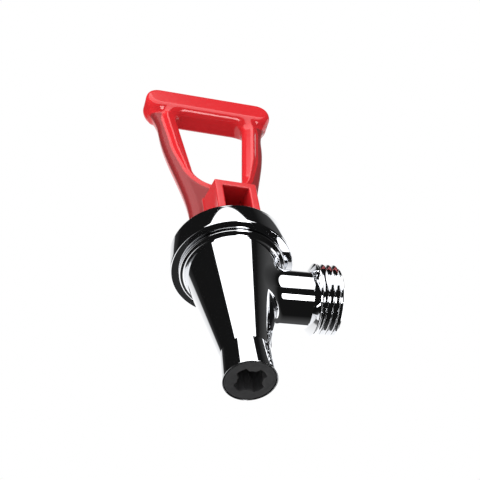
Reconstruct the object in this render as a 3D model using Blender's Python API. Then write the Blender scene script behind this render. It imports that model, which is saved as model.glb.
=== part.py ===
"""Self-closing beverage faucet with a loop handle, a ribbed outlet and a threaded inlet shank.

Metres, +Z up. The origin is the centre of the shank's end face, and the shank runs along +X.
The faucet's own axis is vertical, at x = -SHANK_REACH.
"""
from math import cos, pi, radians, sin, sqrt

import bmesh
import bpy
from mathutils import Matrix, Vector

# Clearances
GAP = 0.0003            # between pieces that touch or fit in each other
OVERSHOOT = 0.002       # how far a cutter runs past what it cuts

# Facets
ROUND_STEPS = 64        # body, bonnet
SMALL_STEPS = 32        # stem, bush, washers
PIN_STEPS = 24
TOP_EDGE_STEPS = 5      # bonnet's rolled top edge
LIP_EDGE_STEPS = 2
WALL_STEPS = 4          # bonnet's waisted wall
FILLET_STEPS = 4        # where the neck grows out of the cone
GRIP_EDGE_STEPS = 4
NOSE_STEPS = 8
OUTLINE_STEPS = 10

# Inlet shank, measured back from its end face
SHANK_REACH = 0.0305    # faucet axis to end face
THREAD_R = 0.0111
THREAD_DEPTH = 0.0011
THREAD_LENGTH = 0.0073
END_CHAMFER = 0.0006
FLARE_LENGTH = 0.0014
NECK_R = 0.0086
NECK_WALL = 0.0031
NECK_FILLET = 0.0020
NECK_ROOT = 0.0006      # how deep the fillet's first ring lies in the cone

# Body, heights measured from the shank's axis
OUTLET_Z = -0.0355
OUTLET_R = 0.0079
OUTLET_EDGE = 0.0003
OUTLET_RIM = 0.0003     # chrome left round the insert's flange
TIP_LENGTH = 0.0102
TIP_R = 0.0074
TIP_WALL = 0.0010
BODY_NECK_R = 0.0150    # carries the bonnet's thread
BODY_RIM_Z = 0.0160
RIM_WALL = 0.0030
CONE_TOP_Z = 0.0092
CONE_SETBACK = 0.0006   # cone's top inside the threaded neck
COLLAR_OVERHANG = 0.0011
COLLAR_H = 0.0009

# Water way
CHAMBER_FLOOR_R = 0.0082
CHAMBER_FLOOR_Z = -0.0098
DRAIN_R = 0.0045
SEAT_WIDTH = 0.0011
SEAT_H = 0.0010

# Outlet insert
INSERT_FLANGE_H = 0.0015
INSERT_LENGTH = 0.0135
SLEEVE_WALL = 0.0013
RIB_H = 0.0012
RIB_COUNT = 4
RIB_TIP_HALF = radians(15)
RIB_ROOT_HALF = radians(25)

# Bonnet, its walls measured outward from the bore that fits over the body's neck
BONNET_H = 0.0088
BONNET_TOP_WALL = 0.0036
BONNET_WAIST_WALL = 0.0031
BONNET_LIP_WALL = 0.0029
BONNET_EDGE = 0.0014
BONNET_LIP_EDGE = 0.0005
BONNET_ROOF = 0.0019
BONNET_HOLE_R = 0.0055

# Wear washer, in a shallow recess of the bonnet
WASHER_LAND = 0.0020    # flat left between the recess and the rolled edge
WASHER_H = 0.0007
RECESS_DEPTH = 0.0005

# Seat cup
CUP_FLANGE_H = 0.0016
CUP_TOP_ROOM = 0.0010   # water's room round the cup, at its top and at its foot
CUP_FOOT_ROOM = 0.0009
CUP_WALL = 0.0013
CUP_FLOOR = 0.0034
CUP_CHAMFER = 0.0006

# Stem
STEM_R = 0.0024
BUTTON_R = 0.0036
BUTTON_H = 0.0014
BUTTON_NECK_R = 0.0019
BUTTON_NECK_H = 0.0013
EYE_R = 0.0040
EYE_HALF_WIDTH = 0.0038
BUSH_FLANGE = 0.0012    # how far the bush's flange reaches past the bonnet's hole
BUSH_FLANGE_H = 0.0009

# Spring and its lower washer
SPRING_WIRE_R = 0.00050
SPRING_COIL_R = 0.0050
SPRING_TURNS = 7
SPRING_STEPS = 16
SPRING_WASHER_RIM = 0.0002
SPRING_WASHER_H = 0.0008

# Handle, in its own frame: x along the bar, y to the back, z up from the flat base
HANDLE_TURN = radians(3.3)
PIN_H = 0.0084
PIN_R = 0.0013
LIFT_PER_RADIAN = 0.0105
TILT_MAX = radians(22)
EYE_PLAY = 0.0004       # between the stem's eye and each side of the clevis
CLEVIS_WALL = 0.0025
CLEVIS_EDGE = 0.0003
CLEVIS_FRONT = 0.0147
CLEVIS_BACK = 0.0080
CLEVIS_BACK_WALL = 0.0030
CLEVIS_FRONT_H = 0.0153
CLEVIS_MIDDLE_H = 0.0217
CLEVIS_ROOF = 0.0024
GRIP_TOP_H = 0.0783
GRIP_HEIGHT = 0.0103
GRIP_DEPTH = 0.0092
GRIP_HALF_LENGTH = 0.0225
GRIP_EDGE = 0.0020
LEG_BACK = 0.0038
LEG_FRONT = 0.0037      # ridge of the rim
WEB_FRONT = 0.0021
PARTING_HALF = 0.00075  # half width of the plain band round the plate's edge
LOOP_BAND_FRONT = 0.0018
BACK_DRAFT = 0.0015     # how much the plate narrows from that band to its back
FRONT_DRAFT = 0.0018
RIM_SLOPE = 0.0034      # how much the loop widens up to the ridge
FOOT_HALF = 0.0115
FOOT_LIFT = 0.0004      # plate's foot above the clevis's flat base
FOOT_H = 0.0130
SHOULDER_HALF = 0.0184
SHOULDER_H = 0.0600
LEG_FLARE = 0.0112
LEG_FLARE_REACH = 0.0012    # how far the legs' flare runs up the grip's ends
LEG_FLARE_R = 0.0260
LOOP_BOTTOM_H = 0.0300
LOOP_CORNER = 0.0075
LOOP_BOTTOM_HALF = 0.0085
LOOP_TOP_HALF = 0.0118
LOOP_TOP_CORNER = 0.0038
LOOP_TOP_REACH = 0.0006 # how far the loop's cutter runs up into the grip
RIM_LOW = 0.0016
RIM_HIGH = 0.0037
RIM_FLANK = 0.0013      # how much wider the rim is at its foot
PIN_RECESS = 0.0030     # pin's ends inside the plate's edge

# Radii that follow from the sizes above
CONE_TOP_R = BODY_NECK_R - CONE_SETBACK
COLLAR_R = BODY_NECK_R + COLLAR_OVERHANG
CHAMBER_TOP_R = BODY_NECK_R - RIM_WALL
INLET_R = NECK_R - NECK_WALL
SEAT_R = DRAIN_R + SEAT_WIDTH
INSERT_FLANGE_R = OUTLET_R - OUTLET_RIM - GAP
INSERT_SLEEVE_R = TIP_R - TIP_WALL - GAP
LOBE_R = INSERT_SLEEVE_R - SLEEVE_WALL
RIB_TIP_R = LOBE_R - RIB_H
BONNET_BORE_R = BODY_NECK_R + GAP
BONNET_TOP_R = BONNET_BORE_R + BONNET_TOP_WALL
BONNET_WAIST_R = BONNET_BORE_R + BONNET_WAIST_WALL
BONNET_LIP_R = BONNET_BORE_R + BONNET_LIP_WALL
WASHER_R = BONNET_TOP_R - BONNET_EDGE - WASHER_LAND
CUP_FLANGE_R = BODY_NECK_R - GAP
CUP_TOP_R = CHAMBER_TOP_R - CUP_TOP_ROOM
CUP_FOOT_R = CHAMBER_FLOOR_R - CUP_FOOT_ROOM
SPRING_SEAT_R = (STEM_R + SPRING_COIL_R - SPRING_WIRE_R) / 2    # stem's collar inside the spring
SPRING_WASHER_R = SPRING_COIL_R + SPRING_WIRE_R + SPRING_WASHER_RIM
CLEVIS_HALF_WIDTH = EYE_HALF_WIDTH + EYE_PLAY + CLEVIS_WALL
PIN_REACH = FOOT_HALF - PIN_RECESS
LEG_FLARE_TOP_H = GRIP_TOP_H - GRIP_HEIGHT + LEG_FLARE_REACH
LEG_FLARE_H = LEG_FLARE_TOP_H - LEG_FLARE

# Places that follow from them
CUP_FLOOR_Z = CHAMBER_FLOOR_Z + SEAT_H + GAP
FLANGE_Z = BODY_RIM_Z + GAP
BONNET_CEILING_Z = FLANGE_Z + CUP_FLANGE_H + GAP
BONNET_TOP_Z = BONNET_CEILING_Z + BONNET_ROOF
BONNET_LIP_Z = BONNET_TOP_Z - BONNET_H
WASHER_Z = BONNET_TOP_Z - RECESS_DEPTH + GAP
HANDLE_BASE_Z = WASHER_Z + WASHER_H + GAP
PIN_Z = HANDLE_BASE_Z + PIN_H
AXIS = Vector((-SHANK_REACH, 0, 0))


def material(name, colour, roughness, metallic):
    """A plain Principled material in the part's colour."""
    made = bpy.data.materials.new(name)
    made.use_nodes = True
    shader = made.node_tree.nodes["Principled BSDF"]
    shader.inputs["Base Color"].default_value = (*colour, 1)
    shader.inputs["Roughness"].default_value = roughness
    shader.inputs["Metallic"].default_value = metallic
    return made


def add_object(name, bm, finish=None, smooth_angle=radians(35)):
    """Turn a bmesh into an object of the scene, with its faces outward."""
    bmesh.ops.remove_doubles(bm, verts=bm.verts, dist=1e-6)
    bmesh.ops.recalc_face_normals(bm, faces=bm.faces)
    mesh = bpy.data.meshes.new(name)
    bm.to_mesh(mesh)
    bm.free()
    mesh.shade_smooth()
    mesh.set_sharp_from_angle(angle=smooth_angle)
    made = bpy.data.objects.new(name, mesh)
    bpy.context.scene.collection.objects.link(made)
    if finish:
        mesh.materials.append(finish)
    return made


def around(points):
    """Each point of a closed outline with its neighbours."""
    return zip(points[-1:] + points[:-1], points, points[1:] + points[:1])


def lathe(name, profile, steps, finish=None):
    """Turn a closed outline of (radius, height) points about Z."""
    bm = bmesh.new()
    points = [bm.verts.new((r, 0, z)) for r, z in profile]
    edges = [bm.edges.new((a, b)) for a, b in zip(points, points[1:] + points[:1])
             if a.co.x > 0 or b.co.x > 0]
    bmesh.ops.spin(bm, geom=points + edges, cent=(0, 0, 0), axis=(0, 0, 1), angle=2 * pi,
                   steps=steps, use_merge=True)
    return add_object(name, bm, finish)


def loft(name, rings, finish=None):
    """Join rings of equally many points in order and cap both ends."""
    bm = bmesh.new()
    rows = [[bm.verts.new(point) for point in ring] for ring in rings]
    for low, high in zip(rows, rows[1:]):
        for i in range(len(low)):
            j = (i + 1) % len(low)
            bm.faces.new((low[i], low[j], high[j]))
            bm.faces.new((low[i], high[j], high[i]))
    bm.faces.new(reversed(rows[0]))
    bm.faces.new(rows[-1])
    return add_object(name, bm, finish)


def inset(outline, distance):
    """Move an anticlockwise outline inward by a distance, corner by corner."""
    moved = []
    for before, here, after in around(outline):
        first = (here - before).normalized()
        second = (after - here).normalized()
        inward = Vector((-first.y - second.y, first.x + second.x)).normalized()
        lean = max(0.5, inward.dot(Vector((-first.y, first.x))))
        moved.append(here + inward * (distance / lean))
    return moved


def slab(name, outline, back, front, edge, steps=2):
    """A plate with an outline in XZ, from y = back to y = -front, with rounded edges."""
    rings = []
    for i in range(steps + 1):
        angle = pi / 2 * i / steps
        ring = inset(outline, edge * (1 - sin(angle)))
        rings.append([(p.x, back - edge * (1 - cos(angle)), p.y) for p in ring])
    for i in range(steps + 1):
        angle = pi / 2 * (1 - i / steps)
        ring = inset(outline, edge * (1 - sin(angle)))
        rings.append([(p.x, -front + edge * (1 - cos(angle)), p.y) for p in ring])
    return loft(name, rings)


def drafted(name, outline, levels, finish=None):
    """A solid through copies of an outline in XZ, each inset by an amount at a y, back to front."""
    return loft(name, [[(p.x, y, p.y) for p in inset(outline, trim)] for trim, y in levels], finish)


def plate(name, outline, half_width, edge=0.0):
    """Extrude an outline of (y, z) points along X, both ways from the middle, with chamfered ends."""
    corners = [Vector(point) for point in outline]
    levels = [(-half_width, edge), (edge - half_width, 0.0), (half_width - edge, 0.0), (half_width, edge)]
    if not edge:
        levels = [(-half_width, 0.0), (half_width, 0.0)]
    return loft(name, [[(x, p.x, p.y) for p in inset(corners, trim)] for x, trim in levels])


def boolean(target, other, operation):
    """Cut, or join, another object into a target, and keep the other as a guide."""
    step = target.modifiers.new(operation.title(), "BOOLEAN")
    step.object = other
    step.operation = operation
    step.solver = "EXACT"
    other.hide_render = True
    other.display_type = "WIRE"


def move(thing, offset):
    """Move an object's mesh, so that its origin stays where it is."""
    thing.data.transform(Matrix.Translation(offset))


def bore(name, radius, length, steps):
    """A plain cylinder about Z, from z = 0 up."""
    return lathe(name, [(0, 0), (radius, 0), (radius, length), (0, length)], steps)


def along_x(thing):
    """Lay a solid that was turned about Z along X."""
    thing.data.transform(Matrix.Rotation(pi / 2, 4, "Y"))


def arc(centre, radius, start, end, steps):
    """Points of an arc in a plane, both ends included."""
    points = []
    for i in range(steps + 1):
        angle = start + (end - start) * i / steps
        points.append((centre[0] + radius * cos(angle), centre[1] + radius * sin(angle)))
    return points


def faucet_body(finish):
    """The plated casting: cone, outlet tip, inlet neck with its thread, and the water way."""
    tip_z = OUTLET_Z + TIP_LENGTH
    collar_z = BONNET_LIP_Z - GAP - COLLAR_H
    outline = [
        (0, OUTLET_Z),
        (OUTLET_R - OUTLET_EDGE, OUTLET_Z),
        (OUTLET_R, OUTLET_Z + OUTLET_EDGE),
        (TIP_R, tip_z),
        (CONE_TOP_R, CONE_TOP_Z),
        ((CONE_TOP_R + COLLAR_R) / 2, collar_z - OUTLET_EDGE),
        (COLLAR_R, collar_z),
        (COLLAR_R, collar_z + COLLAR_H),
        (BODY_NECK_R, collar_z + COLLAR_H),
        (BODY_NECK_R, BODY_RIM_Z),
        (0, BODY_RIM_Z),
    ]
    body = lathe("faucet_body", outline, ROUND_STEPS, finish)
    boolean(body, neck_root(), "UNION")
    boolean(body, inlet_shank(), "UNION")

    floor = CHAMBER_FLOOR_Z
    way = lathe("water_way", [
        (0, BODY_RIM_Z + OVERSHOOT),
        (CHAMBER_TOP_R, BODY_RIM_Z + OVERSHOOT),
        (CHAMBER_TOP_R, CONE_TOP_Z),
        (CHAMBER_FLOOR_R, floor),
        (SEAT_R, floor),
        (SEAT_R, floor + SEAT_H),
        (DRAIN_R, floor + SEAT_H),
        (DRAIN_R, OUTLET_Z + INSERT_LENGTH + GAP),
        (INSERT_SLEEVE_R + GAP, OUTLET_Z + INSERT_LENGTH + GAP),
        (INSERT_SLEEVE_R + GAP, OUTLET_Z + INSERT_FLANGE_H + GAP),
        (INSERT_FLANGE_R + GAP, OUTLET_Z + INSERT_FLANGE_H + GAP),
        (INSERT_FLANGE_R + GAP, OUTLET_Z - OVERSHOOT),
        (0, OUTLET_Z - OVERSHOOT),
    ], ROUND_STEPS)
    boolean(body, way, "DIFFERENCE")

    inlet = bore("inlet_bore", INLET_R, SHANK_REACH + OVERSHOOT, SMALL_STEPS)
    along_x(inlet)
    boolean(body, inlet, "DIFFERENCE")
    place(body)
    place(inlet)
    place(way)


def cone_reach(y, z):
    """How far the cone's surface lies from the faucet's axis along X, at a width and a height."""
    slope = (CONE_TOP_R - TIP_R) / (CONE_TOP_Z - OUTLET_Z - TIP_LENGTH)
    radius = TIP_R + slope * (z - OUTLET_Z - TIP_LENGTH)
    return sqrt(max(0, radius * radius - y * y))


def neck_root():
    """The fillet between the cone and the neck, whose rings follow the cone's surface."""
    levels = [(NECK_FILLET, -NECK_ROOT)]
    for i in range(1, FILLET_STEPS):
        angle = pi / 2 * i / FILLET_STEPS
        levels.append((NECK_FILLET * (1 - sin(angle)), NECK_FILLET * (1 - cos(angle))))
    levels.append((-NECK_ROOT, NECK_FILLET))
    rings = []
    for rise, out in levels:
        ring = []
        for step in range(ROUND_STEPS):
            turn = 2 * pi * step / ROUND_STEPS
            y = (NECK_R + rise) * sin(turn)
            z = (NECK_R + rise) * cos(turn)
            ring.append((cone_reach(y, z) + out, y, z))
        rings.append(ring)
    root = loft("neck_root", rings)
    place(root)
    return root


def inlet_shank():
    """Solid shank about X: the neck, a conical flare and the threaded end."""
    root = THREAD_R - THREAD_DEPTH
    thread_x = SHANK_REACH - THREAD_LENGTH
    outline = [
        (0, CHAMBER_FLOOR_R),
        (NECK_R, CHAMBER_FLOOR_R),
        (NECK_R, thread_x - FLARE_LENGTH),
        (THREAD_R, thread_x),
        (THREAD_R, SHANK_REACH - END_CHAMFER),
        (root, SHANK_REACH),
        (0, SHANK_REACH),
    ]
    shank = lathe("inlet_shank", outline, ROUND_STEPS)
    along_x(shank)
    place(shank)
    return shank


def place(thing, height=0.0):
    """Stand an object on the faucet's axis."""
    thing.location = AXIS + Vector((0, 0, height))


def outlet_insert(finish):
    """The flanged sleeve in the outlet, with ribs that straighten the flow."""
    insert = lathe("outlet_insert", [
        (0, OUTLET_Z),
        (INSERT_FLANGE_R, OUTLET_Z),
        (INSERT_FLANGE_R, OUTLET_Z + INSERT_FLANGE_H),
        (INSERT_SLEEVE_R, OUTLET_Z + INSERT_FLANGE_H),
        (INSERT_SLEEVE_R, OUTLET_Z + INSERT_LENGTH),
        (0, OUTLET_Z + INSERT_LENGTH),
    ], ROUND_STEPS, finish)
    ring = []
    for rib in range(RIB_COUNT):
        middle = 2 * pi * rib / RIB_COUNT
        next_middle = middle + 2 * pi / RIB_COUNT
        ring += arc((0, 0), RIB_TIP_R, middle - RIB_TIP_HALF, middle + RIB_TIP_HALF, 2)
        ring += arc((0, 0), LOBE_R, middle + RIB_ROOT_HALF, next_middle - RIB_ROOT_HALF, 4)
    low = OUTLET_Z - OVERSHOOT
    high = OUTLET_Z + INSERT_LENGTH + OVERSHOOT
    hole = loft("ribbed_bore", [[(x, y, z) for x, y in ring] for z in (low, high)])
    boolean(insert, hole, "DIFFERENCE")
    place(insert)
    place(hole)


def bonnet(finish):
    """The cap: rolled top edge, slight waist, lip, and the recess for the wear washer."""
    lip = BONNET_LIP_Z
    floor = BONNET_TOP_Z - RECESS_DEPTH
    recess_r = WASHER_R + GAP
    top_edge = arc((BONNET_TOP_R - BONNET_EDGE, BONNET_TOP_Z - BONNET_EDGE), BONNET_EDGE,
                   pi / 2, 0, TOP_EDGE_STEPS)
    lip_edge = arc((BONNET_LIP_R - BONNET_LIP_EDGE, lip + BONNET_LIP_EDGE), BONNET_LIP_EDGE,
                   0, -pi / 2, LIP_EDGE_STEPS)
    wall_height = BONNET_H - BONNET_EDGE - BONNET_LIP_EDGE
    hollow = (BONNET_TOP_R + BONNET_LIP_R) / 2 - BONNET_WAIST_R
    wall = []
    for i in range(1, WALL_STEPS):
        share = i / WALL_STEPS
        straight = BONNET_TOP_R + (BONNET_LIP_R - BONNET_TOP_R) * share
        wall.append((straight - hollow * 4 * share * (1 - share),
                     BONNET_TOP_Z - BONNET_EDGE - wall_height * share))
    outline = [(BONNET_HOLE_R, BONNET_CEILING_Z), (BONNET_HOLE_R, floor), (recess_r, floor),
               (recess_r, BONNET_TOP_Z)]
    outline += top_edge + wall + lip_edge
    outline += [(BONNET_BORE_R, lip), (BONNET_BORE_R, BONNET_CEILING_Z)]
    place(lathe("bonnet", outline, ROUND_STEPS, finish))


def wear_washer(finish):
    """The flat ring that the cam noses slide on."""
    top = WASHER_Z + WASHER_H
    inner = BONNET_HOLE_R + GAP
    place(lathe("wear_washer", [(inner, WASHER_Z), (inner, top), (WASHER_R, top), (WASHER_R, WASHER_Z)],
                ROUND_STEPS, finish))


def seat_cup(finish):
    """The silicone cup: clamped flange, tapered wall, and a floor that holds the stem's button."""
    top = FLANGE_Z + CUP_FLANGE_H
    pocket_r = BUTTON_R + GAP
    pocket_z = stem_foot_z() - GAP
    pocket_top = stem_foot_z() + BUTTON_H + GAP
    mouth_r = BUTTON_NECK_R + GAP
    floor_top = CUP_FLOOR_Z + CUP_FLOOR
    place(lathe("seat_cup", [
        (0, CUP_FLOOR_Z),
        (CUP_FOOT_R - CUP_CHAMFER, CUP_FLOOR_Z),
        (CUP_FOOT_R, CUP_FLOOR_Z + CUP_CHAMFER),
        (CUP_TOP_R, FLANGE_Z - CUP_WALL),
        (CUP_TOP_R, FLANGE_Z),
        (CUP_FLANGE_R, FLANGE_Z),
        (CUP_FLANGE_R, top),
        (CUP_TOP_R - CUP_WALL, top),
        (CUP_TOP_R - CUP_WALL, FLANGE_Z - CUP_WALL),
        (CUP_FOOT_R - CUP_WALL, floor_top),
        (mouth_r, floor_top),
        (mouth_r, pocket_top),
        (pocket_r, pocket_top),
        (pocket_r, pocket_z),
        (0, pocket_z),
    ], SMALL_STEPS, finish))


def stem_foot_z():
    """Height of the underside of the stem's button."""
    return CUP_FLOOR_Z + CUP_FLOOR - BUTTON_NECK_H - BUTTON_H + GAP


def shoulder_z():
    """Height of the stem's shoulder, just above the cup's floor."""
    return stem_foot_z() + BUTTON_H + BUTTON_NECK_H


def stem(finish, rider):
    """The stem, from the button in the cup to the eye on the handle's pin."""
    foot = stem_foot_z()
    shoulder = shoulder_z()
    collar_top = shoulder + SPRING_WASHER_H
    rod = lathe("stem", [
        (0, foot),
        (BUTTON_R, foot),
        (BUTTON_R, foot + BUTTON_H),
        (BUTTON_NECK_R, foot + BUTTON_H),
        (BUTTON_NECK_R, shoulder),
        (SPRING_SEAT_R, shoulder),
        (SPRING_SEAT_R, collar_top),
        (STEM_R, collar_top),
        (STEM_R, PIN_Z),
        (0, PIN_Z),
    ], SMALL_STEPS, finish)
    eye = bore("stem_eye", EYE_R, 2 * EYE_HALF_WIDTH, SMALL_STEPS)
    along_x(eye)
    move(eye, (-EYE_HALF_WIDTH, 0, PIN_Z))
    boolean(rod, eye, "UNION")
    hole = bore("stem_eye_hole", PIN_R + GAP, 2 * (EYE_HALF_WIDTH + OVERSHOOT), PIN_STEPS)
    along_x(hole)
    move(hole, (-EYE_HALF_WIDTH - OVERSHOOT, 0, PIN_Z))
    boolean(rod, hole, "DIFFERENCE")
    for piece in (rod, eye, hole):
        piece.parent = rider


def stem_bush(finish):
    """The guide in the bonnet's hole, with a flange under the roof."""
    inner = STEM_R + GAP
    outer = BONNET_HOLE_R - GAP
    flange = BONNET_HOLE_R + BUSH_FLANGE
    top = BONNET_TOP_Z - RECESS_DEPTH
    under = BONNET_CEILING_Z - GAP
    place(lathe("stem_bush", [
        (inner, under - BUSH_FLANGE_H),
        (inner, top),
        (outer, top),
        (outer, under),
        (flange, under),
        (flange, under - BUSH_FLANGE_H),
    ], SMALL_STEPS, finish))


def spring_washer(finish):
    """The lower seat of the spring, round the stem's collar and on the cup's floor."""
    low = shoulder_z()
    inner = SPRING_SEAT_R + GAP
    place(lathe("spring_washer", [
        (inner, low),
        (inner, low + SPRING_WASHER_H),
        (SPRING_WASHER_R, low + SPRING_WASHER_H),
        (SPRING_WASHER_R, low),
    ], SMALL_STEPS, finish))


def stem_spring(finish):
    """The closing spring, a helix with one closed turn at each end."""
    low = shoulder_z() + SPRING_WASHER_H + GAP + SPRING_WIRE_R
    high = BONNET_CEILING_Z - GAP - BUSH_FLANGE_H - GAP - SPRING_WIRE_R
    closed = 2 * SPRING_WIRE_R + GAP
    curve = bpy.data.curves.new("stem_spring", "CURVE")
    curve.dimensions = "3D"
    curve.bevel_depth = SPRING_WIRE_R
    curve.bevel_resolution = 1
    curve.use_fill_caps = True
    spline = curve.splines.new("POLY")
    count = SPRING_TURNS * SPRING_STEPS + 1
    spline.points.add(count - 1)
    for i, point in enumerate(spline.points):
        turn = i / SPRING_STEPS
        middle = (turn - 1) / (SPRING_TURNS - 2)
        if turn < 1:
            height = low + closed * turn
        elif turn > SPRING_TURNS - 1:
            height = high - closed * (SPRING_TURNS - turn)
        else:
            height = low + closed + (high - low - 2 * closed) * middle
        angle = 2 * pi * turn
        point.co = (SPRING_COIL_R * cos(angle), SPRING_COIL_R * sin(angle), height, 1)
    curve.materials.append(finish)
    spring = bpy.data.objects.new("stem_spring", curve)
    bpy.context.scene.collection.objects.link(spring)
    place(spring)


def smooth_side(start, end, share):
    """Ease from one half width to another, level at both ends."""
    eased = share * share * (3 - 2 * share)
    return start + (end - start) * eased


def handle_outline():
    """The handle's silhouette from the front: foot, opening legs, and their flare into the grip."""
    side = [(FOOT_HALF, FOOT_LIFT)]
    for i in range(OUTLINE_STEPS + 1):
        height = FOOT_H + (LEG_FLARE_TOP_H - FOOT_H) * i / OUTLINE_STEPS
        share = min(1, (height - FOOT_H) / (SHOULDER_H - FOOT_H))
        flare = LEG_FLARE_R - sqrt(LEG_FLARE_R ** 2 - max(0, height - LEG_FLARE_H) ** 2)
        side.append((smooth_side(FOOT_HALF, SHOULDER_HALF, share) + flare, height))
    side.append((SHOULDER_HALF, GRIP_TOP_H - GRIP_HEIGHT / 2))
    return mirrored(side)


def mirrored(side):
    """Close a right half, given from the bottom up, into an anticlockwise outline."""
    right = [Vector(point) for point in side]
    left = [Vector((-p.x, p.y)) for p in reversed(right) if p.x > 1e-6]
    return right + left


def loop_outline():
    """The finger loop: a rounded bottom, legs that open upward, and small top corners."""
    top = GRIP_TOP_H - GRIP_HEIGHT + LOOP_TOP_REACH
    corner = (LOOP_BOTTOM_HALF - LOOP_CORNER, LOOP_BOTTOM_H + LOOP_CORNER)
    side = [(0, LOOP_BOTTOM_H)]
    side += arc(corner, LOOP_CORNER, -pi / 2, 0, OUTLINE_STEPS // 2)
    side += arc((LOOP_TOP_HALF - LOOP_TOP_CORNER, top - LOOP_TOP_CORNER), LOOP_TOP_CORNER,
                0, pi / 2, OUTLINE_STEPS // 2)
    return mirrored(side)


def rim_outline(extra):
    """The raised rim round the loop, narrow below it and wide from half the legs' height up.

    Each point lies off the middle of one of the loop's sides.
    """
    half_height = (GRIP_TOP_H - GRIP_HEIGHT - LOOP_BOTTOM_H) / 2
    loop = loop_outline()
    outline = []
    for here, after in zip(loop, loop[1:] + loop[:1]):
        middle = (here + after) / 2
        along = (after - here).normalized()
        share = min(1, max(0, (middle.y - LOOP_BOTTOM_H) / half_height))
        width = smooth_side(RIM_LOW, RIM_HIGH, share) + extra
        outline.append(middle + Vector((along.y, -along.x)) * width)
    return outline


def grip_outline():
    """The grip bar from the front: a straight bar with half-round ends."""
    radius = GRIP_HEIGHT / 2
    middle_z = GRIP_TOP_H - radius
    reach = GRIP_HALF_LENGTH - radius
    points = arc((reach, middle_z), radius, -pi / 2, pi / 2, OUTLINE_STEPS)
    points += arc((-reach, middle_z), radius, pi / 2, 3 * pi / 2, OUTLINE_STEPS)
    return [Vector(p) for p in points]


def nose_point(tilt):
    """Where the clevis touches the washer at a tilt, so that lift grows evenly with tilt."""
    reach = PIN_H + LIFT_PER_RADIAN * tilt
    forward = reach * sin(tilt) + LIFT_PER_RADIAN * cos(tilt)
    below = reach * cos(tilt) - LIFT_PER_RADIAN * sin(tilt)
    return (-forward, PIN_H - below)


def clevis_outline():
    """Side view of the clevis, from the heel along the base and the cam nose to the roof."""
    nose = [nose_point(TILT_MAX * i / NOSE_STEPS) for i in range(NOSE_STEPS + 1)]
    rise = CLEVIS_FRONT + nose[-1][0]
    outline = [(CLEVIS_BACK, 0)] + nose
    outline.append((-CLEVIS_FRONT, nose[-1][1] + rise))
    outline.append((-CLEVIS_FRONT, CLEVIS_FRONT_H))
    outline.append((0, CLEVIS_MIDDLE_H))
    outline.append((CLEVIS_BACK, CLEVIS_FRONT_H))
    return outline[::-1]


def cavity_outline():
    """Side view of the clevis's hollow, open at the front and below."""
    slope = (CLEVIS_MIDDLE_H - CLEVIS_FRONT_H) / CLEVIS_FRONT
    front = CLEVIS_FRONT + OVERSHOOT
    back = CLEVIS_BACK - CLEVIS_BACK_WALL
    return [
        (back, -OVERSHOOT),
        (-front, -OVERSHOOT),
        (-front, CLEVIS_FRONT_H - CLEVIS_ROOF - slope * OVERSHOOT),
        (0, CLEVIS_MIDDLE_H - CLEVIS_ROOF),
        (back, CLEVIS_FRONT_H - CLEVIS_ROOF),
    ]


def handle(finish, rider):
    """The red moulding: plate and raised rim, grip bar, and the clevis with its cam noses."""
    body = drafted("handle", handle_outline(), [
        (BACK_DRAFT, LEG_BACK),
        (0, PARTING_HALF),
        (0, -PARTING_HALF),
        (FRONT_DRAFT, -WEB_FRONT),
    ], finish)
    foot = rim_outline(RIM_FLANK)
    rim = loft("handle_rim", [
        [(p.x, 0, p.y) for p in foot],
        [(p.x, -WEB_FRONT, p.y) for p in foot],
        [(p.x, -LEG_FRONT, p.y) for p in rim_outline(0)],
    ])
    back_slope = BACK_DRAFT / (LEG_BACK - PARTING_HALF)
    rim_slope = RIM_SLOPE / (LEG_FRONT - LOOP_BAND_FRONT)
    loop = drafted("handle_loop", loop_outline(), [
        (-BACK_DRAFT - back_slope * OVERSHOOT, LEG_BACK + OVERSHOOT),
        (0, PARTING_HALF),
        (0, -LOOP_BAND_FRONT),
        (-RIM_SLOPE - rim_slope * OVERSHOOT, -LEG_FRONT - OVERSHOOT),
    ])
    grip = slab("handle_grip", grip_outline(), GRIP_DEPTH / 2, GRIP_DEPTH / 2, GRIP_EDGE, GRIP_EDGE_STEPS)
    clevis = plate("handle_clevis", clevis_outline(), CLEVIS_HALF_WIDTH, CLEVIS_EDGE)
    cavity = plate("handle_cavity", cavity_outline(), CLEVIS_HALF_WIDTH - CLEVIS_WALL)
    hole = bore("handle_pin_hole", PIN_R + GAP, PIN_REACH + GAP + FOOT_HALF + OVERSHOOT, PIN_STEPS)
    along_x(hole)
    move(hole, (-PIN_REACH - GAP, 0, PIN_H))
    boolean(body, rim, "UNION")
    boolean(body, loop, "DIFFERENCE")
    for piece in (grip, clevis):
        boolean(body, piece, "UNION")
    for piece in (cavity, hole):
        boolean(body, piece, "DIFFERENCE")
    for piece in (body, rim, loop, grip, clevis, cavity, hole):
        move(piece, (0, 0, -PIN_H))
        piece.parent = rider
        piece.location = (0, 0, PIN_Z)


def handle_pin(finish, rider):
    """The pin, put in from the right and hidden on the left."""
    pin = bore("handle_pin", PIN_R, 2 * PIN_REACH, PIN_STEPS)
    pin.data.materials.append(finish)
    along_x(pin)
    move(pin, (-PIN_REACH, 0, 0))
    pin.parent = rider
    pin.location = (0, 0, PIN_Z)


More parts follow.
